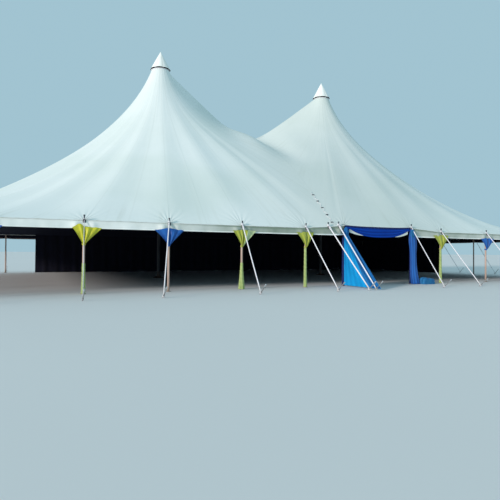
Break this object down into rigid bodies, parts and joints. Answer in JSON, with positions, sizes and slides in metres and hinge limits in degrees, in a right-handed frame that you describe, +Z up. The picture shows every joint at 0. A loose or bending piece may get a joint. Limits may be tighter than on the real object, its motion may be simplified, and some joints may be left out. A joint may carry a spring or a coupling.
{
  "type": "marquee tent",
  "caption": "Two-peak pole marquee: white canopy hung from king poles, side poles with guy ropes and stakes, dark rear walls and a blue draped entrance.",
  "frame": {"origin": "On the ground, under the middle of the tent's overall plan.", "axes": "+Z is up, X runs along the long sides, -Y is the front side with the entrance."},
  "size_m": [38.3144, 23.3144, 12.86],
  "materials": {
    "canopy_pvc": "coated white canvas, satin",
    "belt_and_rope": "white webbing and rope",
    "pole": "turned wooden pole, wrapped with cloth",
    "steel": "grey painted steel",
    "yellow_satin": "yellow satin",
    "blue_satin": "royal blue satin",
    "cyan_cloth": "bright blue cloth",
    "dark_cloth": "black and navy cloth"
  },
  "bodies": {
    "root": {"canopy_left": "canopy_pvc", "canopy_right": "canopy_pvc", "peak_cap_left": "canopy_pvc", "peak_cap_right": "canopy_pvc", "front_valance_left": "canopy_pvc", "front_valance_right": "canopy_pvc", "rear_valance": "canopy_pvc", "left_valance": "canopy_pvc", "right_valance": "canopy_pvc", "king_pole_left": "steel", "king_pole_right": "steel", "crown_ring_left": "steel", "crown_ring_right": "steel", "front_guy_lines": "belt_and_rope", "rear_guy_lines": "belt_and_rope", "left_guy_lines": "belt_and_rope", "right_guy_lines": "belt_and_rope", "front_pole_1": "pole", "front_pole_2": "pole", "front_pole_3": "pole", "front_pole_4": "pole", "front_pole_5": "pole", "front_pole_6": "pole", "front_pole_7": "pole", "front_pole_8": "pole", "front_pole_9": "pole", "front_pole_10": "pole", "entrance_post_left": "pole", "entrance_post_right": "pole", "rear_poles_left": "pole", "rear_poles_right": "pole", "left_poles": "pole", "right_poles": "pole", "pole_scarf_1": "blue_satin", "pole_scarf_3": "blue_satin", "pole_scarf_7": "blue_satin", "entrance_swag": "blue_satin", "entrance_drape": "blue_satin", "pole_scarf_2": "yellow_satin", "pole_scarf_4": "yellow_satin", "pole_scarf_5": "yellow_satin", "pole_scarf_6": "yellow_satin", "pole_scarf_8": "yellow_satin", "entrance_wing": "cyan_cloth", "rear_wall": "dark_cloth", "right_wall": "dark_cloth"}
  },
  "joints": []
}
